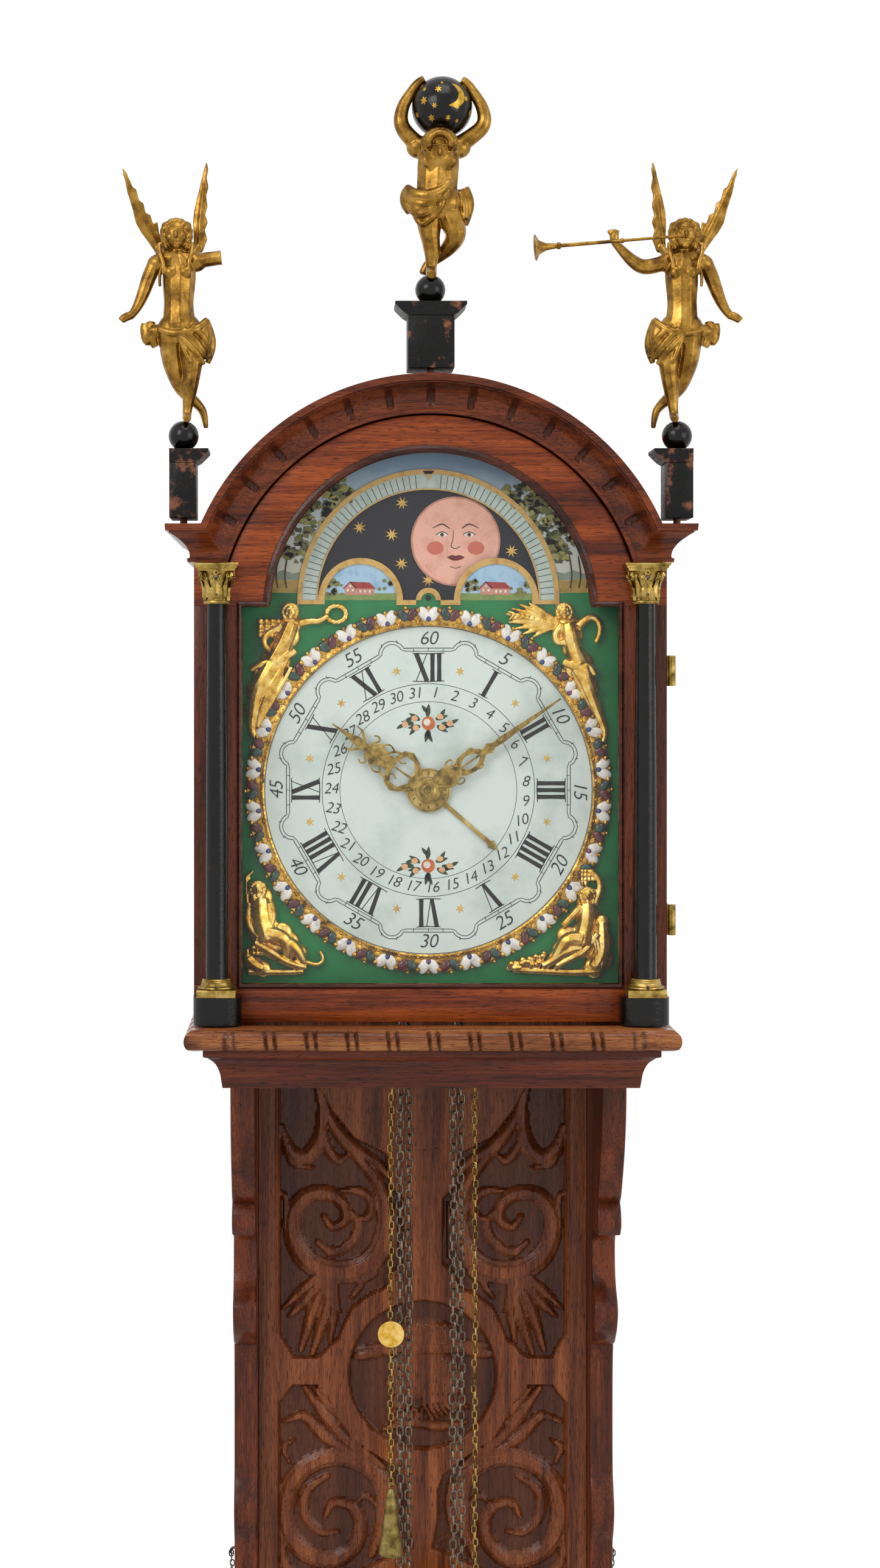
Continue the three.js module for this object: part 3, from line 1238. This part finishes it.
add('minute_wheel', cut(
  join(
    gear(-minuteArborAside, minuteAxisHeight, minuteTeeth, minuteModule,
      gapPhase(cannonMesh, minuteTeeth), cannonBack + seatGap, wheelThick - 2 * seatGap),
    gear(-minuteArborAside, minuteAxisHeight, minutePinionLeaves, hourModule, hourMesh,
      cannonBack + wheelThick / 2, 3 * wheelThick, true),
  ),
  rod(-minuteArborAside, minuteAxisHeight, minuteStudRadius + runGap, cannonBack - overrun,
    hourWheelBack + 3 * wheelThick),
), brass);
add('hour_hand', cut(
  join(
    hand(hourHalfShares, hourOpeningShares, hourHandLength, hourAngleShare, hourHandBack, handHubRadius,
      minutePipeRadius),
    pipe(hourPipeRadius, minutePipeRadius / 2, hourWheelBack, hourHandBack + handThick),
    gear(0, dialCentreHeight, hourTeeth, hourModule, gapPhase(hourMesh, hourTeeth), hourWheelBack,
      wheelThick - 2 * seatGap),
  ),
  rod(0, dialCentreHeight, minutePipeRadius + runGap, hourWheelBack - overrun,
    hourHandBack + handThick + overrun, turnedSides),
), brass);
const dateWheelBack = dialBack - seatGap - wheelThick / 2;
add('date_hand', cut(
  join(
    hand(dateHalfShares, [], dateHandLength, dateAngleShare, dateHandBack, handHubRadius, hourPipeRadius),
    pipe(datePipeRadius, hourPipeRadius / 2, dateWheelBack, dateHandBack + handThick / 2),
    rod(0, dialCentreHeight, 2 * handHubRadius, dateWheelBack, dateWheelBack + handThick, wheelSides / 2),
  ),
  rod(0, dialCentreHeight, hourPipeRadius + runGap, dateWheelBack - overrun,
    dateHandBack + handThick + overrun, turnedSides),
), brass);
add('alarm_disc', pipe(alarmDiscRadius, hourPipeRadius + runGap, alarmDiscBack, alarmDiscBack + handThick), brass);

// Strike train: great wheel with lifting pins, and the fly it drives
const strikeWheelBack = strikeChainDepth - chainRadius - flangeThick - seatGap - 3 * wheelThick;
const strikeMesh = meshAngle(strikeAside, greatAxisHeight, strikeAside + flyArborAside, flyAxisHeight);
add('strike_great_wheel', join(
  wheel(strikeAside, greatAxisHeight, strikeTeeth, strikeModule, strikeMesh, strikeWheelBack, wheelThick),
  sprocket(strikeAside, greatAxisHeight, sprocketRadius, strikeChainDepth, 0),
  rod(strikeAside, greatAxisHeight, 2 * arborRadius, strikeWheelBack, strikeChainDepth),
  rod(strikeAside, greatAxisHeight, arborRadius, rearBarBack, middleBarBack + barThick),
  ...circlePoints(strikeAside, greatAxisHeight, strikePinCircle, strikePins).map(([x, z]) => (
    rod(x, z, strikePinRadius, strikeWheelBack - strikePinLength, strikeWheelBack + wheelThick / 2, pinSides - 2)
  )),
), brass);
{
  const x = strikeAside + flyArborAside;
  const back = rearBarBack + barThick + runGap;
  add('fly', join(
    gear(x, flyAxisHeight, flyPinionLeaves, strikeModule, gapPhase(strikeMesh, flyPinionLeaves),
      strikeWheelBack - wheelThick, pinionLength, true),
    rod(x, flyAxisHeight, arborRadius, rearBarBack, middleBarBack + barThick),
    box(x - flyHalfWidth, x + flyHalfWidth, -back - flyLength, -back, flyAxisHeight - flyThick,
      flyAxisHeight + flyThick),
  ), brass);
}

// Bell on its stand, mouth down, and the hammer that swings against its rim
const bellFoot = frameTopHeight + plateThick + bellLift;
{
  const outerShares = [[1, 0], [0.88, 0.25], [0.82, 0.6], [0.4, 1]];
  const outer = outerShares.map(([r, h]) => [r * bellRadius, h * bellHeight]);
  const inner = outer.map(([r, h], i) => [r - bellWall, i ? h - bellWall : 0]);
  const top = bellHeight;
  const profile = [...outer, [standRadius + runGap, top], [standRadius + runGap, top - bellWall],
    ...inner.reverse(), outer[0]];
  add('bell', moved(turned(profile, turnedSides + 4), 0, -bellDepth, bellFoot), brass);
}
{
  const left = bellRadius + 2 * runGap;
  const strikeLevel = bellFoot + hammerHeadRadius;
  const headCentre = left + hammerHeadLength / 2;
  const back = strikeWheelBack - strikePinLength - hammerThick;
  const half = hammerThick / 2;
  const knee = frameTopHeight + plateThick + half;
  const stem = outline([
    [hammerAside - half, hammerHeight], [hammerAside + half, hammerHeight],
    [pillarCentre - 3 * hammerThick + half, knee - half], [headCentre + half, strikeLevel],
    [headCentre - half, strikeLevel], [pillarCentre - 3 * hammerThick - half, knee - half],
  ]);
  const tail = outline([
    [hammerAside, hammerHeight + half], [hammerAside - half, hammerHeight + half],
    [hammerAside - 4 * half, hammerHeight - 5 * half], [hammerAside - 2 * half, hammerHeight - 6 * half],
    [hammerAside + half, hammerHeight],
  ]);
  const head = new THREE.CylinderGeometry(hammerHeadRadius, hammerHeadRadius, hammerHeadLength, pinSides + 2)
    .rotateZ(Math.PI / 2).translate(headCentre, -back - half, strikeLevel);
  add('hammer', join(
    upright(stem, back, hammerThick),
    upright(tail, back, hammerThick),
    rod(hammerAside, hammerHeight, 2 * arborRadius, back - half, back + hammerThick + half),
    rod(hammerAside, hammerHeight, arborRadius, rearBarBack, middleBarBack + barThick),
    head,
  ), steel);
}

// Alarm wheel on a stud in front of the movement
const alarmStudRadius = 2.5;
add('alarm_wheel', sprocket(alarmAside, alarmAxisHeight, alarmSprocketRadius, alarmChainDepth,
  alarmStudRadius + runGap), brass);

// Movement frame: base and top plates, four corner pillars, three bars, studs and the bell stand
{
  const pillarBack = rearBarBack - frameOverlap + pillarWidth / 2;
  const pillarFront = frontPillarFace - pillarWidth / 2;
  const front = frontPillarFace;
  const back = pillarBack - pillarWidth / 2;
  const bottom = frameBottomHeight;
  const top = frameTopHeight;
  const plate = (z, ...holes) => level(withHoles(outline([
    [-frameHalfWidth, -front], [frameHalfWidth, -front], [frameHalfWidth, -back], [-frameHalfWidth, -back],
  ]), ...holes), z, plateThick);
  const half = sprocketRadius + strikeAside + 3 * chainRadius;
  const chainWays = [strikeChainDepth, goingChainDepth].map((depth) => [
    [-half, -depth - 2 * chainRadius], [half, -depth - 2 * chainRadius],
    [half, -depth + 3 * chainRadius], [-half, -depth + 3 * chainRadius],
  ]);
  const hammerBack = strikeWheelBack - strikePinLength - hammerThick;
  const slot = [
    [hammerAside + hammerThick, -hammerBack - 2 * hammerThick],
    [pillarCentre + hammerThick / 2, -hammerBack - 2 * hammerThick],
    [pillarCentre + hammerThick / 2, -hammerBack + hammerThick],
    [hammerAside + hammerThick, -hammerBack + hammerThick],
  ];
  const pillars = [-pillarCentre, pillarCentre].flatMap((x) => [pillarBack, pillarFront].map((depth) => (
    box(x - pillarWidth / 2, x + pillarWidth / 2, -depth - pillarWidth / 2, -depth + pillarWidth / 2,
      bottom + plateThick / 2, top + plateThick / 2)
  )));
  const hole = (x, z) => circlePoints(x, z, arborRadius + runGap, pinSides);
  const bar = (depth, holes) => upright(withHoles(outline([
    [-barHalfWidth, bottom + plateThick / 2], [barHalfWidth, bottom + plateThick / 2],
    [barHalfWidth, top + plateThick / 2], [-barHalfWidth, top + plateThick / 2],
  ]), ...holes), depth, barThick);
  const going = [
    hole(0, greatAxisHeight), hole(0, dialCentreHeight), hole(thirdArborAside, thirdAxisHeight),
    hole(0, escapeAxisHeight),
  ];
  const striking = [
    hole(strikeAside, greatAxisHeight), hole(strikeAside + flyArborAside, flyAxisHeight),
    hole(hammerAside, hammerHeight),
  ];
  const anchorHole = hole(0, anchorAxisHeight);
  const bars = [
    bar(rearBarBack, [...striking, anchorHole]),
    bar(middleBarBack, [...going, ...striking, anchorHole]),
    bar(frontBarBack, [...going, anchorHole]),
  ];
  const stand = level(outline(circlePoints(0, -bellDepth, standRadius, pinSides)), top + plateThick / 2,
    plateThick / 2 + bellLift + bellHeight + bellWall);
  const shoulder = level(outline(circlePoints(0, -bellDepth, 2 * standRadius, pinSides)), top + plateThick / 2,
    plateThick / 2 + bellLift + bellHeight - bellWall - seatGap);
  const minuteStud = rod(-minuteArborAside, minuteAxisHeight, minuteStudRadius, frontBarBack + barThick / 2,
    hourWheelBack + 2 * wheelThick);
  const alarmStud = rod(alarmAside, alarmAxisHeight, alarmStudRadius, frontBarBack + barThick / 2,
    alarmChainDepth + chainRadius + 2 * flangeThick);
  add('movement_frame', join(plate(bottom, ...chainWays), plate(top, slot), ...pillars, ...bars, stand, shoulder,
    minuteStud, alarmStud), iron);
}

// Seat board on two brackets, pierced for the chains and the pendulum
{
  const front = seatDepth;
  const back = boardThick + seatGap;
  const top = frameBottomHeight - seatGap;
  const strand = (x, depth) => circlePoints(x, -depth, strandHoleRadius, pinSides);
  const swing = 8 * rodRadius;
  const strands = [-1, 1].flatMap((side) => [
    strand(side * sprocketRadius, goingChainDepth),
    strand(strikeAside + side * sprocketRadius, strikeChainDepth),
  ]);
  const slot = [[-swing, -pendulumDepth - 2 * rodRadius], [swing, -pendulumDepth - 2 * rodRadius],
    [swing, -pendulumDepth + 2 * rodRadius], [-swing, -pendulumDepth + 2 * rodRadius]];
  const alarmNotches = [-1, 1].map((side) => level(
    outline([...circlePoints(alarmAside + side * alarmSprocketRadius, -alarmChainDepth, strandHoleRadius, pinSides)]),
    top - seatThick - overrun, seatThick + 2 * overrun,
  ));
  const board = level(withHoles(outline([
    [-seatHalfWidth, -front], [seatHalfWidth, -front], [seatHalfWidth, -back], [-seatHalfWidth, -back],
  ]), ...strands, slot), top - seatThick, seatThick);
  const brackets = [-1, 1].map((side) => sideways([
    [back, top - seatThick + overrun], [back, top - seatThick - bracketDrop],
    [back + bracketReach, top - seatThick + overrun],
  ], side * bracketCentre - bracketThick / 2, bracketThick));
  add('seatboard', join(cut(board, ...alarmNotches), ...brackets), oak);
}

// Chains: one strand up, over the sprocket and down
function chain(x, z, radius, depth, leftFoot, rightFoot, extras = []) {
  const arc = arcPoints(x, z, radius, Math.PI, 0, strandSteps);
  const path = [[x - radius, leftFoot], ...arc, [x + radius, rightFoot]];
  return join(limb(path.map(([a, b]) => [a, -depth, b, chainRadius])), ...extras);
}
add('going_chain', chain(0, greatAxisHeight, sprocketRadius, goingChainDepth, pullEndHeight,
  weightTopHeight + seatGap), iron);
add('strike_chain', chain(strikeAside, greatAxisHeight, sprocketRadius, strikeChainDepth,
  weightTopHeight + seatGap, pullEndHeight), iron);
const alarmLeft = alarmAside - alarmSprocketRadius;
add('alarm_chain', chain(alarmAside, alarmAxisHeight, alarmSprocketRadius, alarmChainDepth,
  alarmWeightTopHeight + seatGap, alarmPullEndHeight, [
    rod(alarmLeft, alarmTagHeight, alarmTagRadius, alarmChainDepth - chainRadius / 2,
      alarmChainDepth + chainRadius + flangeThick / 2, turnedSides),
  ]), brass);

// Weights: brass-cased cylinders under a hook, and the small cone of the alarm
const weightShares = [[0, 0], [0.9, 0], [1, 0.03], [1, 0.95], [0.85, 0.985], [0.2, 1]];
function weight(x, depth) {
  const body = weightShares.map(([r, h]) => [r * weightRadius, h * weightLength]);
  const hook = [[chainRadius, weightLength], [chainRadius, weightLength + hookLength], [0, weightLength + hookLength]];
  return moved(turned([...body, ...hook]), x, -depth, weightTopHeight - weightLength - hookLength);
}
add('going_weight', weight(sprocketRadius, goingChainDepth), brass);
add('strike_weight', weight(strikeAside - sprocketRadius, strikeChainDepth), brass);
add('alarm_weight', moved(turned([
  [0, 0], [alarmWeightRadius, 0], [alarmWeightRadius * 0.85, alarmWeightLength * 0.04],
  [chainRadius, alarmWeightLength * 0.9], [chainRadius, alarmWeightLength], [0, alarmWeightLength],
], pinSides + 4), alarmLeft, -alarmChainDepth, alarmWeightTopHeight - alarmWeightLength), brass);

export default clock;
